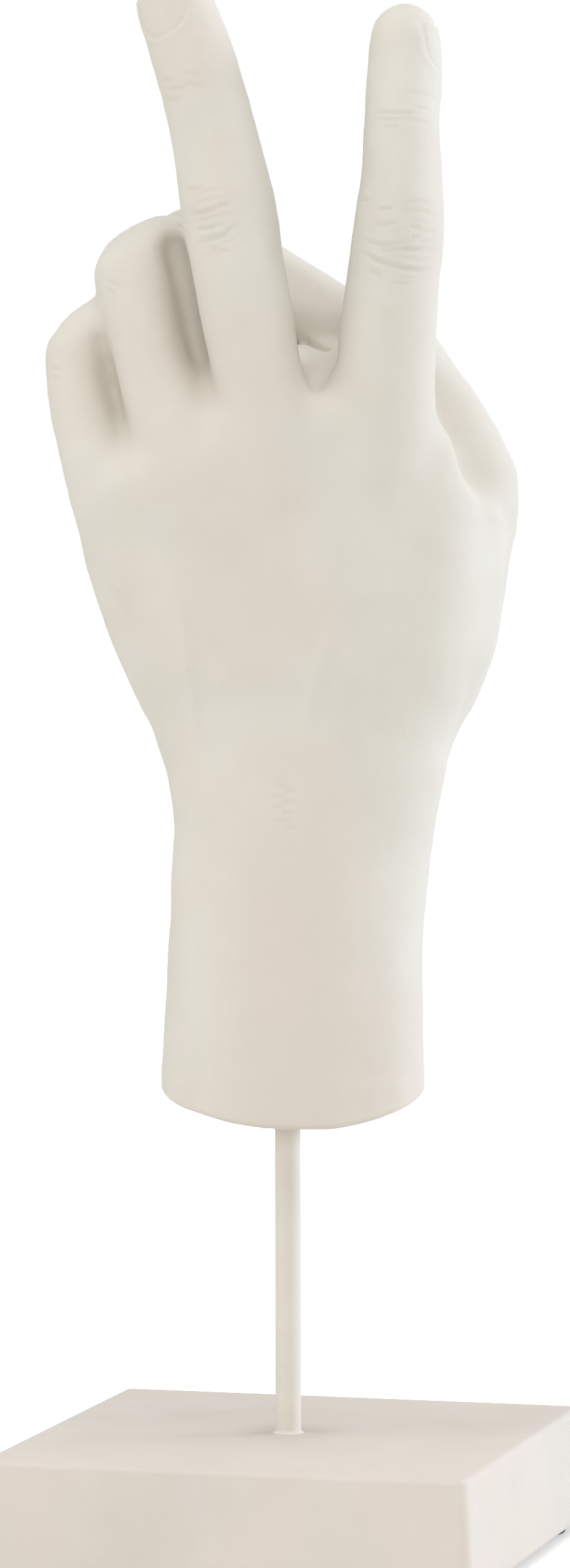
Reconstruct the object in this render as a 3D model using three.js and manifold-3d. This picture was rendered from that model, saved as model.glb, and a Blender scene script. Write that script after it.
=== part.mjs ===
// A life-size hand giving a V sign, cast in resin and painted chalk white. It turns on a thin
// steel stem that is bolted into a square, slightly tapered block on four soft feet.
// Millimetres, +Z up. The origin is on the ground below the stem, and the front of the block faces -Y.

import * as THREE from 'three';
import { mergeVertices } from 'three/addons/utils/BufferGeometryUtils.js';
import Module from 'manifold-3d';

// Block
const blockTopSide = 115;
const blockDraft = 1.9;
const blockHeight = 26.7;
const blockCornerRadius = 2.5;
const blockEdgeRound = 1.2;

// Feet
const footDiameter = 16;
const footHeight = 3;
const footEdgeRound = 0.8;
const footInset = 3.5;

// Stem
const stemDiameter = 6;
const stemShowing = 72;
const stemChamfer = 0.6;
const threadDiameter = 5;
const threadPastNut = 2.5;

// Fastening below the block
const nutAcrossFlats = 8;
const nutHeight = 4;
const washerDiameter = 15;
const washerThickness = 1.2;
const lockWasherDiameter = 9.2;
const lockWasherThickness = 1.2;
const lockWasherSplit = 1.6;
const recessAround = 3;
const recessSpare = 3;

// Socket in the wrist
const socketDepth = 56;
const socketWall = 1.4;
const socketEnd = 2;
const socketInset = 0.6;

// Clearances
const boreGap = 0.3;
const castGap = 0.3;
const threadGap = 0.2;

// How far a cutting rod runs past the face that it opens
const cutPast = 3;

// Hand: its turn on the stem in degrees, the wrist's rounded end and how square the sections are
const handTurn = 15.5;
const wristDome = 10.5;
const sectionSquareness = 2.25;
const knuckleSquareness = 3;

// Fineness of the round shapes
const roundSides = 32;
const nutSides = 6;
const limbSides = 18;
const palmSides = 32;
const cornerSteps = 3;
const ringsPerSpan = 2;
const domeAngles = [60, 35, 14];
const mergeDistance = 1e-4;

// Heights that follow from the sizes above
const blockTop = footHeight + blockHeight;
const wristEnd = blockTop + stemShowing;
const nutStackHeight = washerThickness + lockWasherThickness + nutHeight + threadPastNut;
const recessHeight = nutStackHeight + recessSpare;
const recessTop = footHeight + recessHeight;
const washerBottom = recessTop - washerThickness;
const lockWasherBottom = washerBottom - lockWasherThickness;
const nutBottom = lockWasherBottom - nutHeight;
const threadBottom = nutBottom - threadPastNut;
const stemTop = wristEnd + socketDepth;
const socketBore = stemDiameter + 2 * boreGap;
const socketDiameter = socketBore + 2 * socketWall;
const socketTop = socketDepth + boreGap + socketEnd;

// Wrist and palm: level cuts through the hand, from the wrist's rim up. Heights are above the wrist's end.
// Lefts and rights are the little finger's side and the thumb's side, fronts are the back of the hand and
// backs the palm, and slopes tip a cut sideways.
const palm = {
  heights: [wristDome, 29, 48, 64, 76, 87, 99, 110, 122, 133, 145, 154, 161, 168],
  lefts: [-29.7, -28.7, -27.4, -27, -27, -28.8, -33.2, -38.5, -43.5, -47, -49.6, -50, -42, -30],
  rights: [31.9, 31.5, 32, 33.5, 35.2, 37.4, 40.6, 44.2, 46.5, 47, 45.5, 41, 36, 31],
  fronts: [-21.5, -21, -20.3, -19.7, -19.2, -18.6, -17.8, -17.2, -16.8, -16.6, -16.4, -16.4, -16.2, -15],
  backs: [21.5, 21, 20.3, 19.8, 19.8, 20, 20, 19.5, 18.6, 17.6, 16.5, 15, 13, 11],
  slopes: [0, 0, 0, 0, 0, 0, 0, 0, 0, 0, 0.04, 0.1, 0.12, 0.1],
  topDome: 3.5,
};

// Fingers, thumb and the heel of the hand: each limb follows a route of [right, away, up] points, with a
// width and a depth at every point. Backs are the ways its back faces at its start and end, domes are the
// lengths of its rounded ends, and a bent knuckle has squarer sections than the rest.
const limbs = {
  index: {
    route: [[14, -1, 121], [18.5, -3, 142], [21.2, -4, 157], [22.6, -4.5, 174], [23.9, -4.5, 188],
      [25.3, -4, 201], [26.4, -3.5, 210], [27, -2.8, 220], [27.2, -1.5, 229.5], [27.2, 0.5, 237.5],
      [27.9, 2.5, 246.5], [28.1, 4, 254.8]],
    widths: [20, 25, 27.5, 24.8, 22.6, 21.7, 21.8, 20.2, 18.8, 18.1, 18.4, 17.2],
    depths: [22, 24, 25, 23.5, 22, 21, 20.6, 19, 17.8, 17.4, 17.8, 16.8],
    backs: [[0, -1, 0], [1, -0.28, 0]],
    domes: [8, 9],
  },
  middle: {
    route: [[-1, -2, 124], [-1.5, -4, 144], [-3, -5.5, 160], [-6.2, -6.3, 175], [-9, -6.5, 190],
      [-11.7, -6, 205], [-13.1, -5.4, 214], [-14.7, -4.6, 223], [-16.8, -3, 233.5], [-19.6, -1.2, 244.5],
      [-22.5, 0.8, 254], [-26, 3, 263.2]],
    widths: [20, 24, 24.5, 20.8, 21.9, 22.3, 22.8, 21.6, 20.4, 19.8, 19.4, 18.2],
    depths: [24, 25, 25.5, 23.5, 22.5, 21.6, 21.4, 19.8, 18.6, 18.2, 18.2, 17],
    backs: [[0, -1, 0], [-0.52, -0.86, 0]],
    domes: [8, 9.5],
  },
  ringBase: {
    route: [[-14, -1, 124], [-18.5, -2.3, 142], [-22.8, -3.6, 156], [-28.4, -1.6, 170], [-33.2, 2.6, 187],
      [-35.3, 7.2, 200.5]],
    widths: [18, 21, 22, 18.2, 17.2, 19.8],
    depths: [22, 22.5, 22.5, 20.5, 19.5, 20.5],
    backs: [[-0.1, -1, 0], [-0.35, -0.85, 0.4]],
    domes: [8, 8.5],
  },
  ringMiddle: {
    route: [[-32, 8.3, 203], [-24, 19, 195.8], [-15.5, 27.5, 184.5]],
    widths: [26, 21.5, 19.5],
    depths: [19.8, 19.5, 19],
    backs: [[-0.4, 0.3, 0.88], [-0.1, 0.7, 0.7]],
    domes: [10, 9],
    squareness: knuckleSquareness,
  },
  ringTip: {
    route: [[-15.5, 27.5, 184.5], [-9, 24, 173.5], [-4, 18, 163]],
    widths: [19.5, 18.5, 16],
    depths: [18.5, 17, 14.5],
    backs: [[0.1, 0.9, 0.4], [0.1, 0.9, 0.4]],
    domes: [8.5, 7],
  },
  littleBase: {
    route: [[-31, 1, 120], [-36, 1, 134], [-40.2, 1, 146], [-44.9, 3, 158], [-48.6, 6.5, 172],
      [-48.8, 10, 181.5]],
    widths: [15, 18, 19, 15.4, 14, 15],
    depths: [20, 20.5, 21, 18.5, 17, 17.8],
    backs: [[-0.4, -0.9, 0], [-0.55, -0.75, 0.35]],
    domes: [7, 7],
  },
  littleMiddle: {
    route: [[-45.4, 10.5, 184.8], [-41, 18.5, 178], [-34.8, 24.5, 168.5]],
    widths: [19, 17.5, 16.5],
    depths: [18, 16.5, 16],
    backs: [[-0.75, 0.3, 0.6], [-0.3, 0.7, 0.65]],
    domes: [8.5, 7.5],
    squareness: knuckleSquareness,
  },
  littleTip: {
    route: [[-34.8, 24.5, 168.5], [-32, 21.5, 160], [-30, 18, 152]],
    widths: [16.5, 15.5, 13.5],
    depths: [15.5, 14.5, 12.5],
    backs: [[0, 0.9, 0.4], [0, 0.9, 0.4]],
    domes: [7, 6],
  },
  thumbRoot: {
    route: [[12, 2, 66], [24, 10, 96], [32.5, 15.5, 117], [39, 18.5, 134], [43, 20, 149]],
    widths: [28, 35, 33.5, 29, 25.5],
    depths: [26, 33, 36, 31, 26],
    backs: [[0.2, 1, 0], [0.4, 0.9, 0]],
    domes: [12, 9],
  },
  thumbBase: {
    route: [[43.2, 20, 150], [35.6, 26, 167.4], [24, 31, 181.6]],
    widths: [25, 22.6, 23.4],
    depths: [25, 21.5, 18.5],
    backs: [[0.75, 0.35, 0.5], [0.5, 0.5, 0.7]],
    domes: [9.5, 9],
  },
  thumbTip: {
    route: [[24, 31, 181.6], [9, 33.5, 191.9], [-6, 35, 202.2]],
    widths: [23.4, 21.5, 19],
    depths: [18.5, 14.8, 13],
    backs: [[0.35, 0.45, 0.82], [0.2, 0.45, 0.86]],
    domes: [8.5, 9],
  },
  thumbWeb: {
    route: [[4, 7, 121], [19, 10.5, 138], [33, 16, 156]],
    widths: [40, 40, 30],
    depths: [20, 22, 19],
    backs: [[0, 1, 0], [0.3, 1, 0]],
    domes: [10, 8],
  },
  palmPads: {
    route: [[-36, 8, 146], [-18, 10, 160], [2, 12.5, 168.5], [16, 11.5, 167], [26, 6, 160]],
    widths: [24, 27, 33, 32, 26],
    depths: [20, 21, 25, 24, 18],
    backs: [[0, 1, 0], [0, 1, 0]],
    domes: [8, 7],
  },
  handHeel: {
    route: [[-8, 2, 64], [-18, 7, 96], [-28.5, 9, 121], [-36, 7, 139]],
    widths: [24, 29, 28, 24],
    depths: [26, 29, 28, 23],
    backs: [[-0.5, 0.85, 0], [-0.5, 0.85, 0]],
    domes: [11, 9],
  },
};

// Materials
const chalkPaint = new THREE.MeshStandardMaterial({ color: 0xe2dccf, roughness: 0.8, metalness: 0 });
const paintedSteel = new THREE.MeshStandardMaterial({ color: 0xddd6c9, roughness: 0.6, metalness: 0 });
const zincSteel = new THREE.MeshStandardMaterial({ color: 0xa9abad, roughness: 0.35, metalness: 1 });
const greyRubber = new THREE.MeshStandardMaterial({ color: 0x77756f, roughness: 0.9, metalness: 0 });

const wasm = await Module();
wasm.setup();

// A closed three.js geometry as a solid that can be joined and cut
function toSolid(geometry) {
  const bare = geometry.clone();
  bare.deleteAttribute('normal');
  bare.deleteAttribute('uv');
  const merged = mergeVertices(bare, mergeDistance);
  const vertProperties = new Float32Array(merged.attributes.position.array);
  const triVerts = new Uint32Array(merged.index.array);
  return new wasm.Manifold(new wasm.Mesh({ numProp: 3, vertProperties, triVerts }));
}

function toGeometry(solid) {
  const mesh = solid.getMesh();
  const geometry = new THREE.BufferGeometry();
  geometry.setAttribute('position', new THREE.BufferAttribute(mesh.vertProperties, 3));
  geometry.setIndex(new THREE.BufferAttribute(mesh.triVerts, 1));
  return geometry;
}

// A stack of equal rings closed into one body, with a fan to a point at each end
function skin(rings, firstPoint, lastPoint) {
  const sides = rings[0].length;
  const points = [firstPoint, ...rings.flat(), lastPoint];
  const last = points.length - 1;
  const at = (ring, side) => 1 + ring * sides + (side % sides);
  const faces = [];
  for (let side = 0; side < sides; side += 1) {
    faces.push(0, at(0, side + 1), at(0, side));
    faces.push(last, at(rings.length - 1, side), at(rings.length - 1, side + 1));
  }
  for (let ring = 0; ring + 1 < rings.length; ring += 1) {
    for (let side = 0; side < sides; side += 1) {
      faces.push(at(ring, side), at(ring, side + 1), at(ring + 1, side + 1));
      faces.push(at(ring, side), at(ring + 1, side + 1), at(ring + 1, side));
    }
  }
  const geometry = new THREE.BufferGeometry().setFromPoints(points);
  geometry.setIndex(faces);
  return geometry;
}

// A value that runs smoothly through a list, at 0 for the first and 1 for the last
function smoothValue(values, share) {
  const curve = new THREE.SplineCurve(values.map((value, place) => new THREE.Vector2(place, value)));
  return curve.getPoint(share).y;
}

// A turn around an oval that is a little squarer than an ellipse
function ovalTurn(side, sides, squareness) {
  const angle = (2 * Math.PI * side) / sides;
  const squared = (part) => Math.sign(part) * Math.abs(part) ** (2 / squareness);
  return [squared(Math.cos(angle)), squared(Math.sin(angle))];
}

function limbRing(centre, along, back, width, depth, squareness) {
  const upright = back.clone().addScaledVector(along, -back.dot(along)).normalize();
  const across = upright.clone().cross(along);
  const ring = [];
  for (let side = 0; side < limbSides; side += 1) {
    const [wide, deep] = ovalTurn(side, limbSides, squareness);
    const point = centre.clone().addScaledVector(across, (wide * width) / 2);
    ring.push(point.addScaledVector(upright, (deep * depth) / 2));
  }
  return ring;
}

// A finger or part of one: oval rings along a smooth curve, with a dome past each end
function limbSolid({ route, widths, depths, backs, domes, squareness = sectionSquareness }) {
  const curve = new THREE.CatmullRomCurve3(route.map((point) => new THREE.Vector3(...point)));
  const [firstBack, lastBack] = backs.map((back) => new THREE.Vector3(...back));
  const rings = [];
  const ringAt = (share, past, scale) => {
    const along = curve.getTangent(share).normalize();
    const centre = curve.getPoint(share).addScaledVector(along, past);
    const back = firstBack.clone().lerp(lastBack, share);
    const width = smoothValue(widths, share) * scale;
    const depth = smoothValue(depths, share) * scale;
    return limbRing(centre, along, back, width, depth, squareness);
  };
  const domeRing = (share, length, angle) => {
    const turn = THREE.MathUtils.degToRad(angle);
    return ringAt(share, length * Math.sin(turn), Math.cos(turn));
  };
  domeAngles.forEach((angle) => rings.push(domeRing(0, -domes[0], angle)));
  const spans = (route.length - 1) * ringsPerSpan;
  for (let step = 0; step <= spans; step += 1) {
    rings.push(ringAt(step / spans, 0, 1));
  }
  domeAngles.toReversed().forEach((angle) => rings.push(domeRing(1, domes[1], angle)));
  const start = curve.getPoint(0).addScaledVector(curve.getTangent(0), -domes[0]);
  const end = curve.getPoint(1).addScaledVector(curve.getTangent(1), domes[1]);
  return toSolid(skin(rings, start, end));
}

function palmRing(cut, past, scale) {
  const middle = (palm.lefts[cut] + palm.rights[cut]) / 2;
  const depthMiddle = (palm.fronts[cut] + palm.backs[cut]) / 2;
  const halfWidth = (scale * (palm.rights[cut] - palm.lefts[cut])) / 2;
  const halfDepth = (scale * (palm.backs[cut] - palm.fronts[cut])) / 2;
  const ring = [];
  for (let side = 0; side < palmSides; side += 1) {
    const [wide, deep] = ovalTurn(side, palmSides, sectionSquareness);
    const up = palm.heights[cut] + past + palm.slopes[cut] * wide * halfWidth;
    ring.push(new THREE.Vector3(middle + wide * halfWidth, depthMiddle + deep * halfDepth, up));
  }
  return ring;
}

// Wrist and palm as one body, with a domed lower end
function palmSolid() {
  const last = palm.heights.length - 1;
  const domeRing = (cut, length, angle) => {
    const turn = THREE.MathUtils.degToRad(angle);
    return palmRing(cut, length * Math.sin(turn), Math.cos(turn));
  };
  const rings = [];
  domeAngles.forEach((angle) => rings.push(domeRing(0, -wristDome, angle)));
  palm.heights.forEach((height, cut) => rings.push(palmRing(cut, 0, 1)));
  domeAngles.toReversed().forEach((angle) => rings.push(domeRing(last, palm.topDome, angle)));
  const poleOf = (cut, past) => {
    const across = (palm.lefts[cut] + palm.rights[cut]) / 2;
    const through = (palm.fronts[cut] + palm.backs[cut]) / 2;
    return new THREE.Vector3(across, through, palm.heights[cut] + past);
  };
  return toSolid(skin(rings, poleOf(0, -wristDome), poleOf(last, palm.topDome)));
}

// A turned shape about the upright axis, from [radius, height] corners
function turned(corners) {
  const profile = corners.map(([radius, height]) => new THREE.Vector2(radius, height));
  return new THREE.LatheGeometry(profile, roundSides).rotateX(Math.PI / 2);
}

function rod(diameter, bottom, top) {
  const radius = diameter / 2;
  return turned([[0, bottom], [radius, bottom], [radius, top], [0, top]]);
}

function handGeometry() {
  let solid = palmSolid();
  for (const limb of Object.values(limbs)) {
    solid = solid.add(limbSolid(limb));
  }
  const bore = rod(socketDiameter + 2 * castGap, -cutPast, socketTop + castGap);
  return toGeometry(solid.subtract(toSolid(bore)));
}

// Closed steel sleeve cast into the wrist, resting on the end of the stem
function socketGeometry() {
  const inner = socketBore / 2;
  const outer = socketDiameter / 2;
  const innerTop = socketDepth + boreGap;
  return turned([[0, innerTop], [inner, innerTop], [inner, socketInset], [outer, socketInset],
    [outer, socketTop], [0, socketTop]]);
}

// Steel rod with a shoulder on the block and a thinner threaded end through it
function stemGeometry() {
  const radius = stemDiameter / 2;
  const threadRadius = threadDiameter / 2;
  return turned([[0, threadBottom], [threadRadius - stemChamfer, threadBottom],
    [threadRadius, threadBottom + stemChamfer], [threadRadius, blockTop], [radius, blockTop],
    [radius, stemTop - stemChamfer], [radius - stemChamfer, stemTop], [0, stemTop]]);
}

// One level of the block: a square with round corners
function blockRing(halfSide, height) {
  const corner = blockCornerRadius;
  const reach = halfSide - corner;
  const outline = new THREE.Shape();
  outline.absarc(reach, reach, corner, 0, Math.PI / 2);
  outline.absarc(-reach, reach, corner, Math.PI / 2, Math.PI);
  outline.absarc(-reach, -reach, corner, Math.PI, 1.5 * Math.PI);
  outline.absarc(reach, -reach, corner, 1.5 * Math.PI, 2 * Math.PI);
  outline.closePath();
  const points = outline.getPoints(cornerSteps).slice(0, -1);
  return points.map((point) => new THREE.Vector3(point.x, point.y, height));
}

function blockGeometry() {
  const topHalf = blockTopSide / 2;
  const bottomHalf = topHalf + blockDraft;
  const draftAt = (height) => bottomHalf - (blockDraft * (height - footHeight)) / blockHeight;
  const round = blockEdgeRound;
  const shoulder = round * (1 - Math.SQRT1_2);
  const rings = [
    blockRing(bottomHalf - round, footHeight),
    blockRing(draftAt(footHeight + round), footHeight + round),
    blockRing(draftAt(blockTop - round), blockTop - round),
    blockRing(draftAt(blockTop) - shoulder, blockTop - shoulder),
    blockRing(draftAt(blockTop) - round, blockTop),
  ];
  const bottomMiddle = new THREE.Vector3(0, 0, footHeight);
  const block = toSolid(skin(rings, bottomMiddle, new THREE.Vector3(0, 0, blockTop)));
  const hole = rod(threadDiameter + 2 * boreGap, footHeight - cutPast, blockTop + cutPast);
  const recess = rod(washerDiameter + 2 * recessAround, footHeight - cutPast, recessTop);
  return toGeometry(block.subtract(toSolid(hole)).subtract(toSolid(recess)));
}

function footGeometry() {
  const radius = footDiameter / 2;
  return turned([[0, 0], [radius - footEdgeRound, 0], [radius, footEdgeRound],
    [radius, footHeight], [0, footHeight]]);
}

// A flat plate with a round hole, standing on the given height
function holedPlate(outline, holeDiameter, thickness, bottom) {
  const hole = new THREE.Path();
  hole.absarc(0, 0, holeDiameter / 2, 0, 2 * Math.PI);
  outline.holes.push(hole);
  const settings = { depth: thickness, bevelEnabled: false, curveSegments: roundSides / 2 };
  return new THREE.ExtrudeGeometry(outline, settings).translate(0, 0, bottom);
}

function washerGeometry() {
  const outline = new THREE.Shape();
  outline.absarc(0, 0, washerDiameter / 2, 0, 2 * Math.PI);
  return holedPlate(outline, threadDiameter + 2 * threadGap, washerThickness, washerBottom);
}

// Split ring: an open arc of flat steel
function lockWasherGeometry() {
  const outer = lockWasherDiameter / 2;
  const inner = threadDiameter / 2 + threadGap;
  const halfSplit = Math.asin(lockWasherSplit / 2 / inner);
  const outline = new THREE.Shape();
  outline.absarc(0, 0, outer, halfSplit, 2 * Math.PI - halfSplit);
  outline.absarc(0, 0, inner, 2 * Math.PI - halfSplit, halfSplit, true);
  outline.closePath();
  const settings = { depth: lockWasherThickness, bevelEnabled: false, curveSegments: roundSides / 2 };
  return new THREE.ExtrudeGeometry(outline, settings).translate(0, 0, lockWasherBottom);
}

function nutGeometry() {
  const cornerRadius = nutAcrossFlats / 2 / Math.cos(Math.PI / nutSides);
  const corners = Array.from({ length: nutSides }, (_, corner) => {
    const angle = (2 * Math.PI * corner) / nutSides;
    return new THREE.Vector2(cornerRadius * Math.cos(angle), cornerRadius * Math.sin(angle));
  });
  const outline = new THREE.Shape(corners);
  return holedPlate(outline, threadDiameter + 2 * threadGap, nutHeight, nutBottom);
}

function named(name, geometry, material) {
  const mesh = new THREE.Mesh(geometry, material);
  mesh.name = name;
  return mesh;
}

// Stand
const stand = new THREE.Group();
stand.add(named('block', blockGeometry(), chalkPaint));
stand.add(named('stem', stemGeometry(), paintedSteel));
stand.add(named('washer', washerGeometry(), zincSteel));
stand.add(named('lock_washer', lockWasherGeometry(), zincSteel));
stand.add(named('nut', nutGeometry(), zincSteel));
const footReach = blockTopSide / 2 + blockDraft - footInset - footDiameter / 2;
for (const [row, away] of [['front', -1], ['back', 1]]) {
  for (const [column, across] of [['left', -1], ['right', 1]]) {
    const foot = named(`foot_${row}_${column}`, footGeometry(), greyRubber);
    foot.position.set(across * footReach, away * footReach, 0);
    stand.add(foot);
  }
}

// Hand, turned on the stem
const turningHand = new THREE.Group();
turningHand.position.z = wristEnd;
turningHand.rotation.z = THREE.MathUtils.degToRad(handTurn);
turningHand.add(named('hand', handGeometry(), chalkPaint));
turningHand.add(named('wrist_socket', socketGeometry(), zincSteel));

const sculpture = new THREE.Group();
sculpture.add(stand, turningHand);

export default sculpture;
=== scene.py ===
import math
import bmesh
import bpy
from mathutils import Euler, Matrix, Vector, noise
from mathutils.bvhtree import BVHTree
from mathutils.kdtree import KDTree


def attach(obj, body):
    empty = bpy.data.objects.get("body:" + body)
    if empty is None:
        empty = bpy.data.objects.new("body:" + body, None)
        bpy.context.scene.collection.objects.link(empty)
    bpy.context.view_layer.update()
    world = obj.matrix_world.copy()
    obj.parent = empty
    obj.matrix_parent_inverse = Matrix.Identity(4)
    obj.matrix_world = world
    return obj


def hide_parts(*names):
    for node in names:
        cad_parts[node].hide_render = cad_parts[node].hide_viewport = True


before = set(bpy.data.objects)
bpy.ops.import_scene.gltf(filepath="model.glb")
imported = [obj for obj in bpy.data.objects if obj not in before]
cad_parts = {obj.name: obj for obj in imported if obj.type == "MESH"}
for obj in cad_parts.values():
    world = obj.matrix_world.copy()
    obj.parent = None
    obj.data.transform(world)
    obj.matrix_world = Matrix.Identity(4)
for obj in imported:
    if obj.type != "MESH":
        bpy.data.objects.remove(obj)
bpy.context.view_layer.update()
print("frame loaded,", len(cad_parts), "nodes")

# all modelling below is in millimetres; a piece is scaled to metres when it is finished
toMetres = Matrix.Scale(0.001, 4)
wristHeight = 101.7
handTurn = math.radians(15.5)
handFrame = toMetres @ Matrix.Translation((0, 0, wristHeight)) @ Matrix.Rotation(handTurn, 4, "Z")


def turnHex(code):  # sRGB hex to linear RGBA
    parts = [int(code[k:k + 2], 16) / 255 for k in (1, 3, 5)]
    return [c / 12.92 if c < 0.04045 else ((c + 0.055) / 1.055) ** 2.4 for c in parts] + [1]


def addNode(tree, kind, settings={}, links={}):
    node = tree.nodes.new(kind)
    for name, value in settings.items():
        if isinstance(name, int) or name in node.inputs:
            node.inputs[name].default_value = value
        else:
            setattr(node, name, value)
    for name, source in links.items():
        tree.links.new(source, node.inputs[name])
    return node


def startMaterial(name):
    material = bpy.data.materials.new(name)
    material.use_nodes = True
    tree = material.node_tree
    shader = tree.nodes["Principled BSDF"]
    place = addNode(tree, "ShaderNodeTexCoord").outputs["Object"]
    return material, tree, shader, place


def holdMesh(name, shape):
    mesh = bpy.data.meshes.new(name)
    shape.to_mesh(mesh)
    shape.free()
    holder = bpy.data.objects.new(name, mesh)
    bpy.context.scene.collection.objects.link(holder)
    return holder


# Camera, where the photograph was taken from: metres, degrees, and the lens in millimetres
photoView = {"turn": 15.59, "distance": 1.452, "height": 0.2593, "tilt": 3.02, "pan": 0.017,
             "roll": -0.14, "lens": 142.41}


def setCamera(view):
    camera = bpy.data.cameras.new("photoCamera")
    camera.sensor_width = 36
    camera.lens = view["lens"]
    camera.clip_end = 100
    holder = bpy.data.objects.new("photoCamera", camera)
    bpy.context.scene.collection.objects.link(holder)
    turn = math.radians(view["turn"])
    holder.location = (math.sin(turn) * view["distance"], -math.cos(turn) * view["distance"], view["height"])
    aim = Euler((math.radians(90 - view["tilt"]), 0, turn + math.radians(view["pan"]))).to_matrix()
    holder.rotation_euler = (aim @ Matrix.Rotation(math.radians(view["roll"]), 3, "Z")).to_euler()
    bpy.context.scene.camera = holder


setCamera(photoView)
print("camera set")

# Studio: white cove light all round, a soft lamp by the camera, broad ones from right, left and above;
# a lamp is (name, turn from the camera, height, energy, spread in degrees, colour)
studio = {"dome": 0.425, "floorColour": "#F4F3F0", "floorGlow": 0.38, "floorReach": 30,
          "lamps": [("byCamera", 2, 14, 0.31, 14, "#FFFFFF"), ("keyRight", 105, 8, 2.1, 34, "#DDEBFF"),
                    ("fillLeft", -78, 28, 0.68, 56, "#FFFFFF"), ("topSheet", 20, 72, 1.36, 70, "#FFFFFF")]}


def seenDirectly(tree):  # 1 for rays that show the surface, 0 for rays that light something else
    path = addNode(tree, "ShaderNodeLightPath")
    seen = path.outputs["Is Camera Ray"]
    for ray in ("Is Glossy Ray", "Is Transmission Ray"):
        either = addNode(tree, "ShaderNodeMath", {"operation": "MAXIMUM"}, {0: seen, 1: path.outputs[ray]})
        seen = either.outputs[0]
    return seen


def lightStudio(spec):
    scene = bpy.context.scene
    scene.view_settings.view_transform = "Standard"
    world = bpy.data.worlds.new("whiteCove")
    world.use_nodes = True
    tree = world.node_tree
    tree.nodes.clear()
    level = addNode(tree, "ShaderNodeMapRange", {"To Min": spec["dome"], "To Max": 1.0},
                    {"Value": seenDirectly(tree)})
    back = addNode(tree, "ShaderNodeBackground", {"Color": (1, 1, 1, 1)}, {"Strength": level.outputs[0]})
    addNode(tree, "ShaderNodeOutputWorld", {}, {"Surface": back.outputs[0]})
    scene.world = world
    for name, turn, height, energy, spread, colour in spec["lamps"]:
        lamp = bpy.data.lights.new(name, "SUN")
        lamp.energy = energy
        lamp.color = turnHex(colour)[:3]
        lamp.angle = math.radians(spread)
        holder = bpy.data.objects.new(name, lamp)
        holder.rotation_euler = (math.radians(90 - height), 0, math.radians(turn + photoView["turn"]))
        scene.collection.objects.link(holder)


def layFloor(spec):
    # white diffuse that keeps the shadow, topped up to white for what sees it directly
    material, tree, shader, place = startMaterial("whiteFloorSheet")
    tree.nodes.remove(shader)
    glow = addNode(tree, "ShaderNodeMath", {"operation": "MULTIPLY", 1: spec["floorGlow"]},
                   {0: seenDirectly(tree)})
    sheet = addNode(tree, "ShaderNodeBsdfDiffuse", {"Color": turnHex(spec["floorColour"])})
    lit = addNode(tree, "ShaderNodeEmission", {"Color": (1, 1, 1, 1)}, {"Strength": glow.outputs[0]})
    both = addNode(tree, "ShaderNodeAddShader", {}, {0: sheet.outputs[0], 1: lit.outputs[0]})
    tree.links.new(both.outputs[0], tree.nodes["Material Output"].inputs["Surface"])
    floor = bmesh.new()
    bmesh.ops.create_grid(floor, x_segments=1, y_segments=1, size=spec["floorReach"])
    piece = holdMesh("studioFloor", floor)
    piece.data.materials.append(material)


lightStudio(studio)
layFloor(studio)
print("studio lit")


# Materials; the sizes of their patterns are in millimetres

def blushShare(tree, place, spec):  # most down the middle of the wrist, fading upwards and to the sides
    soft = {"interpolation_type": "SMOOTHSTEP"}
    height = addNode(tree, "ShaderNodeSeparateXYZ", {}, {0: place})
    low = addNode(tree, "ShaderNodeMapRange",
                  soft | {"From Min": spec["high"] / 1000, "From Max": spec["low"] / 1000},
                  {"Value": height.outputs["Z"]})
    across = handFrame.col[0].xyz.normalized()
    wide = addNode(tree, "ShaderNodeVectorMath", {"operation": "DOT_PRODUCT", 1: across}, {0: place})
    wide = addNode(tree, "ShaderNodeMath", {"operation": "ABSOLUTE"}, {0: wide.outputs["Value"]})
    middle = addNode(tree, "ShaderNodeMapRange",
                     soft | {"From Min": spec["half"] / 1000, "From Max": spec["core"] / 1000},
                     {"Value": wide.outputs[0]})
    both = addNode(tree, "ShaderNodeMath", {"operation": "MULTIPLY"},
                   {0: low.outputs[0], 1: middle.outputs[0]})
    return both.outputs[0]


def paintedFootShadowShare(tree, place, spec):  # painted shadow: a darker ring round the upright middle axis, where the stem stands
    flat = addNode(tree, "ShaderNodeVectorMath", {"operation": "MULTIPLY", 1: (1, 1, 0)}, {0: place})
    away = addNode(tree, "ShaderNodeVectorMath", {"operation": "LENGTH"}, {0: flat.outputs[0]})
    ring = addNode(tree, "ShaderNodeMapRange",
                   {"interpolation_type": "SMOOTHSTEP", "From Min": spec["outer"] / 1000,
                    "From Max": spec["inner"] / 1000, "To Max": spec["amount"]},
                   {"Value": away.outputs["Value"]})
    return ring.outputs[0]


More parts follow.
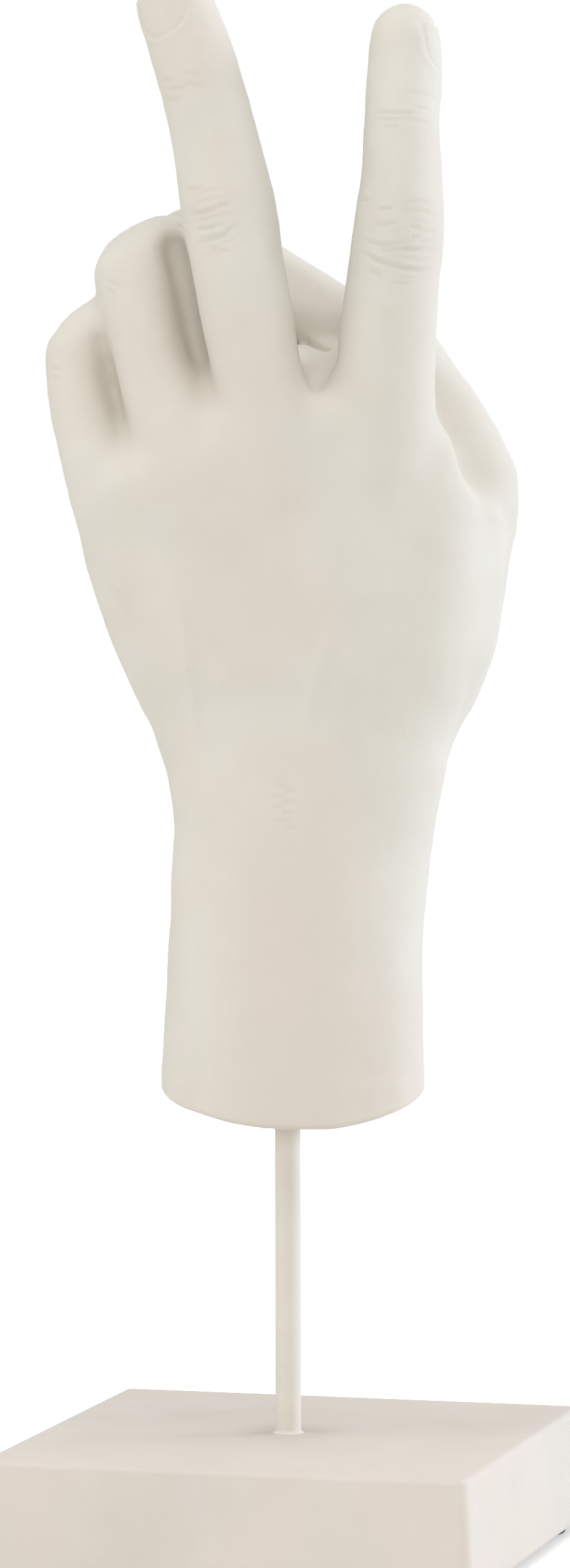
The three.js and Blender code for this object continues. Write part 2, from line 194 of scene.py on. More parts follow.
def makeMattPaint(name, look):
    # chalky wall-type paint brushed on: dead matt, cloudy by a few percent, fine grain; when the look gives
    # them, painted shade in the carved lines and a painted shadow round the stem's foot
    material, tree, shader, place = startMaterial(name)
    cloud = addNode(tree, "ShaderNodeTexNoise",
                    {"Scale": 1000 / look["cloud"], "Detail": 4.0, "Roughness": 0.55},
                    {"Vector": place}).outputs["Fac"]
    tint = addNode(tree, "ShaderNodeValToRGB", {}, {"Fac": cloud})
    for element, position, code in zip(tint.color_ramp.elements, (0.3, 0.7), (look["low"], look["high"])):
        element.position = position
        element.color = turnHex(code)
    patch = addNode(tree, "ShaderNodeTexNoise", {"Scale": 1000 / look["patch"], "Detail": 2.0},
                    {"Vector": place})
    warmth = addNode(tree, "ShaderNodeMapRange",
                     {"From Min": 0.4, "From Max": 0.66, "To Max": look["warmAmount"]},
                     {"Value": patch.outputs["Fac"]})
    if "blush" in look:
        blush = addNode(tree, "ShaderNodeMath", {"operation": "MULTIPLY"},
                        {0: blushShare(tree, place, look["blush"]), 1: cloud})
        warmth = addNode(tree, "ShaderNodeMath", {"operation": "MAXIMUM"},
                         {0: warmth.outputs[0], 1: blush.outputs[0]})
    layers = [(look["warm"], warmth)]
    # painted shadow round the stem's foot, clouded a little
    if "paintedFootShadow" in look:
        footShadowLayer = addNode(tree, "ShaderNodeMath", {"operation": "MULTIPLY"},
                       {0: paintedFootShadowShare(tree, place, look["paintedFootShadow"]), 1: cloud})
        layers.append((look["paintedFootShadow"]["colour"], footShadowLayer))
    if "paintedCreaseShade" in look:  # painted shade: a darker colour laid in the carved lines, creases and nail grooves
        paintedShadeAttribute = addNode(tree, "ShaderNodeAttribute", {"attribute_name": "paintedShadeMark"})
        paintedCreaseShade = addNode(tree, "ShaderNodeMath", {"operation": "MULTIPLY", 1: look["paintedCreaseShadeAmount"]},
                       {0: paintedShadeAttribute.outputs["Fac"]})
        layers.append((look["paintedCreaseShade"], paintedCreaseShade))
    colour = tint.outputs["Color"]
    for code, share in layers:
        layer = addNode(tree, "ShaderNodeMix", {"data_type": "RGBA", 7: turnHex(code)},
                        {0: share.outputs[0], 6: colour})
        colour = layer.outputs[2]
    tree.links.new(colour, shader.inputs["Base Color"])
    rough = addNode(tree, "ShaderNodeMapRange",
                    {"To Min": look["rough"] - 0.06, "To Max": look["rough"] + 0.06}, {"Value": cloud})
    tree.links.new(rough.outputs[0], shader.inputs["Roughness"])
    shader.inputs["IOR"].default_value = 1.45
    shader.inputs["Specular IOR Level"].default_value = 0.3
    grain = addNode(tree, "ShaderNodeTexNoise", {"Scale": 1000 / look["grain"], "Detail": 3.0},
                    {"Vector": place})
    drag = addNode(tree, "ShaderNodeMapping", {"Scale": look["drag"]}, {"Vector": place})
    brush = addNode(tree, "ShaderNodeTexNoise", {"Scale": 1000 / look["brush"], "Detail": 2.0},
                    {"Vector": drag.outputs[0]})
    relief = addNode(tree, "ShaderNodeMath", {"operation": "MULTIPLY_ADD", 1: look["brushShare"]},
                     {0: brush.outputs["Fac"], 2: grain.outputs["Fac"]})
    bump = addNode(tree, "ShaderNodeBump", {"Strength": look["bump"], "Distance": 0.0002},
                   {"Height": relief.outputs[0]})
    tree.links.new(bump.outputs[0], shader.inputs["Normal"])
    return material


def makeZincSteel(name):
    # zinc-plated steel, rolled and tumbled: bright grey, satin, faint blue-white cloudiness and tool lines
    material, tree, shader, place = startMaterial(name)
    shader.inputs["Metallic"].default_value = 1.0
    cloudSize, lineSize = 2.38, 1.11
    cloud = addNode(tree, "ShaderNodeTexNoise", {"Scale": 1000 / cloudSize, "Detail": 3.0}, {"Vector": place})
    tint = addNode(tree, "ShaderNodeValToRGB", {}, {"Fac": cloud.outputs["Fac"]})
    tint.color_ramp.elements[0].color = turnHex("#A9ADB0")
    tint.color_ramp.elements[1].color = turnHex("#D3D5D4")
    tree.links.new(tint.outputs["Color"], shader.inputs["Base Color"])
    rough = addNode(tree, "ShaderNodeMapRange", {"To Min": 0.28, "To Max": 0.46},
                    {"Value": cloud.outputs["Fac"]})
    tree.links.new(rough.outputs[0], shader.inputs["Roughness"])
    turned = addNode(tree, "ShaderNodeMapping", {"Scale": (1, 1, 9)}, {"Vector": place})
    lines = addNode(tree, "ShaderNodeTexNoise", {"Scale": 1000 / lineSize, "Detail": 2.0},
                    {"Vector": turned.outputs[0]})
    bump = addNode(tree, "ShaderNodeBump", {"Strength": 0.15, "Distance": 0.0001},
                   {"Height": lines.outputs["Fac"]})
    tree.links.new(bump.outputs[0], shader.inputs["Normal"])
    return material


def makeRubber(name):
    # moulded black rubber: dull, slightly dusty, fine pitted skin
    material, tree, shader, place = startMaterial(name)
    dustSize, pitSize = 2.63, 0.4
    dust = addNode(tree, "ShaderNodeTexNoise", {"Scale": 1000 / dustSize, "Detail": 4.0}, {"Vector": place})
    tint = addNode(tree, "ShaderNodeValToRGB", {}, {"Fac": dust.outputs["Fac"]})
    tint.color_ramp.elements[0].color = turnHex("#232221")
    tint.color_ramp.elements[1].color = turnHex("#3B3936")
    tree.links.new(tint.outputs["Color"], shader.inputs["Base Color"])
    rough = addNode(tree, "ShaderNodeMapRange", {"To Min": 0.62, "To Max": 0.8},
                    {"Value": dust.outputs["Fac"]})
    tree.links.new(rough.outputs[0], shader.inputs["Roughness"])
    shader.inputs["IOR"].default_value = 1.52
    pits = addNode(tree, "ShaderNodeTexNoise", {"Scale": 1000 / pitSize, "Detail": 1.0}, {"Vector": place})
    bump = addNode(tree, "ShaderNodeBump", {"Strength": 0.3, "Distance": 0.0001},
                   {"Height": pits.outputs["Fac"]})
    tree.links.new(bump.outputs[0], shader.inputs["Normal"])
    return material


# clouds of a few centimetres, paint grain under a millimetre, brush drags along the piece;
# the hand is warmer down the wrist and has painted shade in its carved lines, and the block has a painted
# shadow round the stem's foot
handLook = {"low": "#DAD5CA", "high": "#E2DED4", "warm": "#DDCFC2", "warmAmount": 0.35, "patch": 47,
            "rough": 0.78, "cloud": 28, "grain": 0.7, "brush": 2.4, "drag": (1, 1, 0.35), "brushShare": 1.2,
            "bump": 0.35, "paintedCreaseShade": "#B3A48B", "paintedCreaseShadeAmount": 0.14,
            "blush": {"low": 150, "high": 225, "half": 26, "core": 5.2}}
blockLook = {"low": "#D7CFC5", "high": "#E0D9D0", "warm": "#DED0C5", "warmAmount": 0.5, "patch": 38,
             "rough": 0.72, "cloud": 34, "grain": 0.6, "brush": 2.2, "drag": (0.3, 0.3, 1), "brushShare": 1.4,
             "bump": 0.3, "paintedFootShadow": {"inner": 3, "outer": 17, "amount": 0.8, "colour": "#C2B5A9"}}
stemLook = {"low": "#E0DACF", "high": "#E9E4DA", "warm": "#E5D8CC", "warmAmount": 0.4, "patch": 30,
            "rough": 0.66, "cloud": 16, "grain": 0.5, "brush": 1.8, "drag": (1, 1, 0.2), "brushShare": 1.0,
            "bump": 0.25}
chalkPaintOnResin = makeMattPaint("chalkPaintOnCastResin", handLook)
chalkPaintOnBoard = makeMattPaint("chalkPaintOnWoodBoard", blockLook)
chalkPaintOnRod = makeMattPaint("chalkPaintOnSteelRod", stemLook)
zincSteel = makeZincSteel("zincPlatedSteel")
blackRubber = makeRubber("mouldedBlackRubber")
print("materials made")


def finishPiece(name, shape, move, material, node, body, sharp):
    bmesh.ops.transform(shape, matrix=move, verts=shape.verts)
    piece = holdMesh(name, shape)
    mesh = piece.data
    mesh.materials.append(material)
    mesh.shade_smooth()
    if sharp:
        mesh.set_sharp_from_angle(angle=math.radians(sharp))
    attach(piece, body)
    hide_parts(node)
    mesh.calc_loop_triangles()
    print(name, "made,", len(mesh.loop_triangles), "triangles")


def spinProfile(profile, steps, turn=360):  # (radius, height) pairs, closed on the axis or on themselves
    shape = bmesh.new()
    verts = [shape.verts.new((r, 0, z)) for r, z in profile]
    edges = [shape.edges.new(pair) for pair in zip(verts, verts[1:])]
    if profile[0][0] > 0 and profile[-1][0] > 0:
        edges.append(shape.edges.new((verts[-1], verts[0])))
    bmesh.ops.spin(shape, geom=verts + edges, cent=(0, 0, 0), axis=(0, 0, 1), angle=math.radians(turn),
                   steps=steps, use_merge=turn == 360)
    bmesh.ops.remove_doubles(shape, verts=shape.verts, dist=0.001)
    bmesh.ops.recalc_face_normals(shape, faces=shape.faces)
    return shape


def roundedCorner(centre, radius, start, stop, steps=5):  # part of a profile, angles in degrees
    angles = [math.radians(start + (stop - start) * k / steps) for k in range(steps + 1)]
    return [(centre[0] + radius * math.cos(a), centre[1] + radius * math.sin(a)) for a in angles]


def addRing(shape, radius, height, steps):  # edges of a level circle round the upright axis
    move = Matrix.Translation((0, 0, height))
    verts = bmesh.ops.create_circle(shape, segments=steps, radius=radius, matrix=move)["verts"]
    return list({e for v in verts for e in v.link_edges})


# Block: a square plinth of painted board, sides leaning in, recessed below for the nut
block = {"bottom": 118.6, "top": 115.0, "low": 3.0, "high": 29.7, "corner": 2.5, "edge": 1.3, "inset": 0.25,
         "flatArea": 1000, "recess": 10.5, "recessTop": 14.9, "recessEdge": 0.5, "hole": 2.8}


def makeBlock(spec):
    shape = bmesh.new()
    bmesh.ops.create_cube(shape, size=1)
    for v in shape.verts:
        side = spec["top"] if v.co.z > 0 else spec["bottom"]
        v.co = (v.co.x * side, v.co.y * side, spec["high"] if v.co.z > 0 else spec["low"])
    upright = [e for e in shape.edges if abs(e.verts[0].co.z - e.verts[1].co.z) > 1]
    bmesh.ops.bevel(shape, geom=upright, offset=spec["corner"], segments=6, profile=0.5, affect="EDGES",
                    material=-1)
    rims = [e for e in shape.edges if abs(e.verts[0].co.z - e.verts[1].co.z) < 0.01]
    bmesh.ops.bevel(shape, geom=rims, offset=spec["edge"], segments=4, profile=0.5, affect="EDGES",
                    material=-1)
    shape.normal_update()
    # a narrow inset keeps the flats flat beside the rounded edges
    flats = [f for f in shape.faces if f.calc_area() > spec["flatArea"]]
    bmesh.ops.inset_individual(shape, faces=flats, thickness=spec["inset"])
    shape.normal_update()
    flats = [f for f in shape.faces if f.calc_area() > spec["flatArea"] and abs(f.normal.z) > 0.9]
    low, top = sorted(flats, key=lambda f: f.calc_center_median().z)
    lowLoop, topLoop = list(low.edges), list(top.edges)
    bmesh.ops.delete(shape, geom=[low, top], context="FACES_ONLY")
    recess, edge = spec["recess"], spec["recessEdge"]
    steps = [(recess + edge, spec["low"]), (recess, spec["low"] + edge), (recess, spec["recessTop"]),
             (spec["hole"], spec["recessTop"]), (spec["hole"], spec["high"])]
    rings = [addRing(shape, radius, height, 64) for radius, height in steps]
    for one, other in zip(rings, rings[1:]):
        bmesh.ops.bridge_loops(shape, edges=one + other)
    for outline, up in ((lowLoop + rings[0], -1), (topLoop + rings[-1], 1)):
        bmesh.ops.triangle_fill(shape, edges=outline, use_beauty=True, use_dissolve=False, normal=(0, 0, up))
    bmesh.ops.recalc_face_normals(shape, faces=shape.faces)
    finishPiece("paintedBlock", shape, toMetres, chalkPaintOnBoard, "block", "stand", 30)


makeBlock(block)

# Stem: straight rod, shouldered on the block, threaded below; a small paint fillet rounds its foot
stem = {"radius": 3.0, "top": 157.7, "shoulder": block["high"], "foot": 6.0, "thread": 2.5, "root": 2.1,
        "pitch": 0.8, "flank": 0.35, "crest": 0.15, "lead": 0.3, "runOut": 1.0, "chamfer": 0.6, "fillet": 0.8}


def makeStem(spec):
    r, z, lead, soft = spec["radius"], spec["shoulder"], spec["lead"], spec["fillet"]
    profile = [(0, spec["foot"]), (spec["root"] - lead, spec["foot"]), (spec["root"], spec["foot"] + lead)]
    turns = int((z - spec["runOut"] - spec["foot"]) / spec["pitch"])
    for k in range(turns):
        start = spec["foot"] + lead + k * spec["pitch"]
        rise = start + spec["flank"]
        profile += [(spec["thread"], rise), (spec["thread"], rise + spec["crest"]),
                    (spec["root"], start + spec["pitch"])]
    profile += [(spec["root"], z), (r + soft, z)] + roundedCorner((r + soft, z + soft), soft, 262, 180)
    neck = spec["top"] - spec["chamfer"]
    profile += [(r, z + 20), (r, z + 60), (r, neck - 1), (r, neck), (r - spec["chamfer"], spec["top"]),
                (0, spec["top"])]
    shape = spinProfile(profile, 40)
    finishPiece("paintedStem", shape, toMetres, chalkPaintOnRod, "stem", "stand", 35)


makeStem(stem)

# Fasteners under the block, each on the one above: plain washer, split spring washer and hexagon nut
washer = {"outer": 7.5, "inner": 2.7, "low": 13.7, "high": block["recessTop"], "soft": 0.15}
lockWasher = {"outer": 4.6, "inner": 2.7, "low": 12.5, "high": washer["low"], "soft": 0.12, "split": 1.6}
nut = {"across": 8.0, "low": 8.5, "high": lockWasher["low"], "bore": 2.7, "lead": 0.4, "slope": 30,
       "cuts": 24, "inset": 0.1}


def ringProfile(spec):
    outer, inner, low, high, soft = [spec[k] for k in ("outer", "inner", "low", "high", "soft")]
    return [(inner + soft, low), (outer - soft, low), (outer, low + soft), (outer, high - soft),
            (outer - soft, high), (inner + soft, high), (inner, high - soft), (inner, low + soft)]


def makeWasher(spec):
    shape = spinProfile(ringProfile(spec), 64)
    finishPiece("flatWasher", shape, toMetres, zincSteel, "washer", "stand", 30)


def makeLockWasher(spec):
    gap = math.degrees(spec["split"] / ((spec["outer"] + spec["inner"]) / 2))
    shape = spinProfile(ringProfile(spec), 48, 360 - gap)
    bmesh.ops.holes_fill(shape, edges=[e for e in shape.edges if e.is_boundary])
    turn = Matrix.Rotation(math.radians(gap / 2), 3, "Z")
    bmesh.ops.rotate(shape, verts=shape.verts, cent=(0, 0, 0), matrix=turn)
    bmesh.ops.recalc_face_normals(shape, faces=shape.faces)
    finishPiece("springWasher", shape, toMetres, zincSteel, "lock_washer", "stand", 30)


def makeNut(spec):
    # hexagon from a cone with six sides, corners cut by tilted planes, then the bore bridged through
    low, high, flat, slope = spec["low"], spec["high"], spec["across"] / 2, math.radians(spec["slope"])
    corner = flat / math.cos(math.radians(30))
    shape = bmesh.new()
    bmesh.ops.create_cone(shape, cap_ends=True, segments=6, radius1=corner, radius2=corner, depth=high - low,
                          matrix=Matrix.Translation((0, 0, (low + high) / 2)))
    for k in range(spec["cuts"]):
        turn = math.radians(360 / spec["cuts"] * k)
        side = Vector((math.cos(turn), math.sin(turn), 0))
        for end, up in ((low, -1), (high, 1)):
            place = side * (flat - spec["inset"]) + Vector((0, 0, end))
            facing = side * math.sin(slope) + Vector((0, 0, up * math.cos(slope)))
            whole = shape.verts[:] + shape.edges[:] + shape.faces[:]
            cut = bmesh.ops.bisect_plane(shape, geom=whole, dist=0.001, plane_co=place, plane_no=facing,
                                         clear_outer=True)
            opened = [e for e in cut["geom_cut"] if isinstance(e, bmesh.types.BMEdge)]
            bmesh.ops.holes_fill(shape, edges=opened)
    ends = [f for f in shape.faces if abs(f.normal.z) > 0.99]
    ends.sort(key=lambda f: f.calc_center_median().z)
    loops = [list(f.edges) for f in ends]
    bmesh.ops.delete(shape, geom=ends, context="FACES_ONLY")
    bore, lead = spec["bore"], spec["lead"]
    steps = [(bore + lead, low), (bore, low + lead), (bore, high - lead), (bore + lead, high)]
    rings = [addRing(shape, radius, height, 48) for radius, height in steps]
    for one, other in zip([loops[0]] + rings, rings + [loops[1]]):
        bmesh.ops.bridge_loops(shape, edges=one + other)
    bmesh.ops.recalc_face_normals(shape, faces=shape.faces)
    finishPiece("hexNut", shape, toMetres, zincSteel, "nut", "stand", 20)


makeWasher(washer)
makeLockWasher(lockWasher)
makeNut(nut)

# Sleeve: a closed steel cup cast into the wrist, which sits on the stem's end
sleeve = {"outer": 4.7, "inner": 3.3, "low": wristHeight + 0.6, "high": stem["top"] + 2.3, "end": 2.0,
          "soft": 0.3}


def makeSleeve(spec):
    outer, inner, low, high, soft = [spec[k] for k in ("outer", "inner", "low", "high", "soft")]
    floor = high - spec["end"]
    profile = [(0, floor), (inner, floor), (inner, low + soft), (inner + soft, low), (outer - soft, low),
               (outer, low + soft), (outer, high - soft), (outer - soft, high), (0, high)]
    shape = spinProfile(profile, 56)
    finishPiece("wristSleeve", shape, toMetres, zincSteel, "wrist_socket", "hand", 30)


makeSleeve(sleeve)

# Feet: four moulded rubber buttons, rounded below, with a small moulding dimple
foot = {"radius": 8.0, "height": block["low"], "round": 0.9, "draft": 0.15, "rim": 0.25, "dimple": 2.6,
        "dimpleDepth": 0.4, "spacing": 47.9}


def makeFeet(spec):
    r, h, soft, rim = spec["radius"], spec["height"], spec["round"], spec["rim"]
    dimple, depth = spec["dimple"], spec["dimpleDepth"]
    profile = [(0, depth), (dimple * 0.6, depth * 0.75), (dimple, depth / 8), (dimple + 0.3, 0)]
    profile += roundedCorner((r - spec["draft"] - soft, soft), soft, 270, 360)
    profile += [(r, h - rim), (r - rim, h), (0, h)]
    for across, away in ((-1, -1), (1, -1), (-1, 1), (1, 1)):
        move = Matrix.Translation((across * spec["spacing"], away * spec["spacing"], 0))
        node = "foot_" + ("front" if away < 0 else "back") + ("_left" if across < 0 else "_right")
        name = "rubberFoot" + node[4:].title().replace("_", "")
        shape = spinProfile(profile, 48)
        finishPiece(name, shape, toMetres @ move, blackRubber, node, "stand", 50)


makeFeet(foot)

# Hand: the cast figure's skin, grown from the solid hand and then worked over like clay.
# Places are in the hand's own millimetres: x right, y towards the palm, z up from the wrist.
skinSpec = {"voxel": 1.4, "dabSpacing": 1.6, "slotReach": 30, "slotSill": 5, "passes": 8, "bore": 6.2,
            "boreTop": 60.0, "rim": 13.0, "edge": 26}

# clay pressed in before smoothing, as (x, y, z, radius) along a line
clayFills = {
    "slotRingMiddle": [(-13.5, -7, 148, 5.5), (-14.5, -7, 157, 5.5), (-16.5, -4, 166, 5.5),
                       (-19, 1, 172, 5.5), (-21.5, 5, 178, 5.5), (-23, 8, 184, 5.5)],
    "slotBack": [(-13, 4, 182, 7), (-15.5, 6, 190, 7), (-18, 8.5, 198, 6.5), (-19.5, 11, 204, 6)],
    "slotLittleRing": [(-33, -6, 139, 5.5), (-35, -2, 149, 5.5), (-38, 2, 157, 5.5), (-40.5, 6, 165, 5.5),
                       (-43, 10.5, 173, 5.5), (-45, 14, 181, 5.5)],
    "ringKnuckleTop": [(-38, 7.5, 200, 7), (-34, 8.5, 203.5, 6), (-30.5, 11, 206.3, 5.7),
                       (-27, 15.5, 208.6, 6), (-23.5, 17.5, 210.6, 6.2), (-20, 18.5, 211.4, 6.3),
                       (-16, 20.5, 209.8, 6.8), (-13, 23, 205.5, 7), (-12, 25.5, 199, 7)],
    "ringKnuckleBack": [(-35, 13, 201, 7), (-28, 18, 203.5, 7.5), (-21, 21, 204, 7.5), (-14, 24, 198, 7)],
    "littleKnuckleTop": [(-50.5, 10.5, 179.5, 6.2), (-46, 14, 187, 6), (-41, 16, 191.2, 6.2)],
    "littleLoop": [(-43, 15, 172, 6), (-40, 14.5, 166, 6), (-37, 14, 160, 6)],
    "ringLittlePalm": [(-31, 15, 186, 6), (-30, 16, 180, 6), (-29, 16, 173, 6), (-27, 14, 166, 6)],
    "ringTipSide": [(-23, 20.5, 178, 6), (-24, 20, 172, 6), (-25, 18.5, 166, 6)],
    "webLeft": [(4.5, -7, 165, 5.5), (2, -2, 171, 5), (0.5, 6, 177, 5)],
    "webRight": [(6, -7, 165, 5.5), (9, -4, 170.5, 5.2), (12, -1, 176.5, 5)],
    "webWall": [(5, 1, 171, 5), (6, 5, 175, 5.5), (7, 8, 178, 5.5), (8, 13, 179, 5)],
    "webOfV": [(5, -2.5, 163, 6), (6.5, 5.5, 168.5, 6), (7.5, 14, 173.5, 6), (8, 22, 176, 7),
               (9, 30, 176, 8)],
    "underThumb": [(-6, 30, 178, 8), (2, 31, 179, 8), (12, 31, 177, 8)],
    "behindThumb": [(-12, 27, 190, 6), (-6, 29, 187, 6), (0, 30, 185, 6)],
    "thumbFront": [(26, 26, 180, 8), (14, 26.5, 188.3, 8), (4, 27.5, 195.3, 8), (-4, 29, 201, 7.5)],
    "thumbPad": [(17, 24, 187.5, 6.5), (12, 24, 189, 6.5), (8, 24, 189.6, 6.5), (3, 24, 191, 6.8),
                 (-3, 24, 193.5, 7)],
    "thumbKnuckle": [(36, 24.5, 167.5, 9.3), (32.5, 27, 174.5, 9.2), (28.5, 29, 181, 9.3),
                     (22, 31, 185.5, 9)],
    "thumbBase": [(42.5, 8.5, 141, 9), (42.3, 8, 132, 10), (41.7, 7.5, 124, 10), (40.5, 7, 116, 9.5),
                  (38.5, 6.5, 108, 8.5)],
}
# slots open to the back between the fingers, as (x, z, half the width, floor) down each; the left wall leans
# out towards the back, and the slot's cross lines may tilt
slotCuts = {
    "ringMiddle": {"lean": 0.5, "tilt": 0.25, "line": [
        (-26.4, 210, 1.8, 4), (-26, 207.5, 2.7, 7), (-23.9, 198, 2.5, 6.5), (-21.8, 188, 2.3, 6),
        (-19.9, 179.5, 2.1, 4), (-18.9, 175, 1.6, -3), (-18.4, 171.5, 0.8, -9.5)]},
    "littleRing": {"lean": 1.1, "tilt": 0.2, "line": [
        (-44.6, 189, 1.2, 3), (-43.6, 186, 1.9, 5.2), (-41.3, 177, 1.8, 6.4), (-39.4, 169, 1.8, 5),
        (-38.8, 161.5, 1.3, -0.5), (-38.5, 154.5, 0.7, -7.5)]},
    "thumbV": {"lean": 0, "tilt": -0.3, "line": [
        (6, 170.5, 0.8, -11), (6.6, 174, 1.9, -1), (7.3, 177, 3, 4), (8.2, 182.2, 4.6, 8),
        (8.3, 184, 4.8, 15)]},
}


def addClay(clay, line, spacing):
    for one, other in zip(line, line[1:]):
        start, end = Vector(one), Vector(other)
        count = max(1, round((end.xyz - start.xyz).length / spacing))
        for k in range(count + 1):
            dab = start.lerp(end, k / count)
            bmesh.ops.create_icosphere(clay, subdivisions=3, radius=dab.w, matrix=Matrix.Translation(dab.xyz))


def addSlot(cutter, spec, reach, sill):  # from the floor to past the back, and to where the left wall leans
    rings = []
    out = (reach - sill) * spec["lean"]
    for x, z, half, floor in spec["line"]:
        outline = [(x - half - out, floor - reach), (x + half, floor - reach)]
        outline += roundedCorner((x, floor - half), half, 0, 180, 6) + [(x - half, floor - sill)]
        rings.append([cutter.verts.new((a, b, z + (a - x) * spec["tilt"])) for a, b in outline])
    for one, other in zip(rings, rings[1:]):
        for k in range(len(one)):
            cutter.faces.new((one[k - 1], one[k], other[k], other[k - 1]))
    cutter.faces.new(rings[0])
    cutter.faces.new(rings[-1])


def smoothSkin(skin, verts, passes, factor=0.5):
    for k in range(passes):
        bmesh.ops.smooth_vert(skin, verts=verts, factor=factor, use_axis_x=True, use_axis_y=True,
                              use_axis_z=True)


def startSkin(spec):
    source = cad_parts["hand"]
    clay = bmesh.new()
    clay.from_mesh(source.data)
    bmesh.ops.transform(clay, matrix=handFrame.inverted(), verts=clay.verts)
    bmesh.ops.remove_doubles(clay, verts=clay.verts, dist=0.002)
    for line in clayFills.values():
        addClay(clay, line, spec["dabSpacing"])
    cutter = bmesh.new()
    for slot in slotCuts.values():
        addSlot(cutter, slot, spec["slotReach"], spec["slotSill"])
    bmesh.ops.recalc_face_normals(cutter, faces=cutter.faces)
    holder, knife = holdMesh("handClay", clay), holdMesh("slotKnife", cutter)
    holder.modifiers.new("clay", "REMESH").voxel_size = spec["voxel"]
    cut = holder.modifiers.new("slots", "BOOLEAN")
    cut.object = knife
    holder.modifiers.new("even", "REMESH").voxel_size = spec["voxel"]
    bpy.context.view_layer.update()
    grown = holder.evaluated_get(bpy.context.evaluated_depsgraph_get())
    skin = bmesh.new()
    skin.from_mesh(grown.to_mesh())
    grown.to_mesh_clear()
    for helper in (holder, knife):
        bpy.data.meshes.remove(helper.data)
    print("hand clay grown,", len(skin.faces), "faces")
    free = [v for v in skin.verts if math.hypot(v.co.x, v.co.y) > spec["bore"] or v.co.z > spec["boreTop"]]
    smoothSkin(skin, free, spec["passes"])
    return skin


skin = startSkin(skinSpec)
sculpt = {}


def refreshSculpt():  # search trees for the strokes, after the faces or the places have changed
    skin.verts.ensure_lookup_table()
    skin.normal_update()
    sculpt["rays"] = BVHTree.FromBMesh(skin)
    sculpt["near"] = KDTree(len(skin.verts))
    for k, v in enumerate(skin.verts):
        sculpt["near"].insert(v.co, k)
    sculpt["near"].balance()


def vertsAround(centre, radius):
    return [skin.verts[k] for place, k, gap in sculpt["near"].find_range(centre, radius)]


def pull(centre, radius, move):
    for v in vertsAround(centre, radius):
        share = 1 - (v.co - Vector(centre)).length_squared / radius ** 2
        if share > 0:
            v.co += Vector(move) * share * share


refreshSculpt()

# coarse shaping: (centre, radius, move)
pushes = {
    "palmPadBehindV": ((8, 9, 184.5), 10, (0, 1.5, -3.0)),
    "edgeBesideThumb": ((43, 2, 155), 10, (-2.6, 0, 0)),
    "indexPad": ((27.5, 8, 223), 9, (0, 0.8, 0)),
    "middlePad": ((-16.5, 6, 229), 9, (0, 0.8, 0)),
    "indexTipPad": ((28, 12, 249), 8, (0, 0.7, 0)),
    "middleTipPad": ((-23, 12, 257), 8, (0, 0.7, 0)),
    "ballOfThumb": ((30, 14, 118), 22, (0, 2.0, 0)),
    "heelOfPalm": ((-26, 14, 112), 18, (0, 1.6, 0)),
}
for centre, radius, move in pushes.values():
    pull(centre, radius, move)

# how far the left and right edges are moved, by height: (height, left, right)
edgeShifts = [(5, -0.4, 0.7), (12, -0.3, 0.6), (20, -0.2, 0.5), (30, -0.1, 0.5), (42, -0.4, 0.2),
              (50, -0.1, 0.2), (60, -0.2, 0.5), (66, 0.1, 0.5), (70, 0.45, 0.5), (75, 0.15, 0.7),
              (80, 0, 0.8), (84, 0.3, 0.8), (88, 0.2, -0.1), (91, 0.4, -0.5), (95, 0.85, -0.2),
              (100, 0.45, 0.4), (104, 0.1, 0.8), (112, -0.3, 0.95), (118, -0.55, 0.5), (124, -0.6, 0),
              (132, -0.55, -0.6), (140, 0, 0)]
# height of the wrist's lower edge, by x
rimLine = [(-30.3, 10.4), (-29.3, 8.9), (-28, 7.7), (-25, 6.2), (-20, 4.9), (-13.5, 3.1), (-7, 2.2), (0, 1.8),
           (10.8, 1.7), (17.2, 2.8), (21.5, 3.9), (25.8, 5.3), (28.9, 6.6), (30.6, 7.6), (31.8, 8.8)]


def follow(table, at, column=1):
    for one, other in zip(table, table[1:]):
        if at <= other[0]:
            share = max(0, (at - one[0]) / (other[0] - one[0]))
            return one[column] + (other[column] - one[column]) * share
    return table[-1][column]


def fitEdges(table, edge):  # the whole shift from this far out on, less towards the middle
    for v in skin.verts:
        shift = follow(table, v.co.z, 1 if v.co.x < 0 else 2)
        v.co.x += shift * min(1, abs(v.co.x) / edge) ** 2


def cutRim(line, top, bore):  # sides run straight down to a crisp edge, the underside is nearly flat
    sectors, span = 72, 5  # how many parts the wrist's outline is read in, and the degrees of each
    mouth, slope = 0.2, 10  # height of the bore's edge, and how far out the underside reaches the rim line
    reach = [0] * sectors
    for v in skin.verts:
        if top < v.co.z < top + 4:
            side = int(math.degrees(math.atan2(v.co.y, v.co.x)) // span) % sectors
            reach[side] = max(reach[side], math.hypot(v.co.x, v.co.y))
    for v in skin.verts:
        away = math.hypot(v.co.x, v.co.y)
        if v.co.z > top or away < bore:
            continue
        angle = math.atan2(v.co.y, v.co.x)
        part = (math.degrees(angle) / span - 0.5) % sectors
        wall = reach[int(part)] + (reach[(int(part) + 1) % sectors] - reach[int(part)]) * (part % 1)
        turn = math.atan2(1 - v.co.z / top, min(1, away / wall)) / (math.pi / 2)
        last = math.atan2(1, bore / wall) / (math.pi / 2)
        if turn < 0.5:
            low = follow(line, wall * math.cos(angle))
            out, height = wall, top + (low - top) * turn / 0.5
        else:
            out = bore + (wall - bore) * max(0, (last - turn) / (last - 0.5))
            share = min(1, (out - bore) / slope)
            height = mouth + (follow(line, out * math.cos(angle)) - mouth) * share
        v.co = (out * math.cos(angle), out * math.sin(angle), height)
    smoothSkin(skin, [v for v in skin.verts if v.co.z < top and math.hypot(v.co.x, v.co.y) > bore + 2], 2)


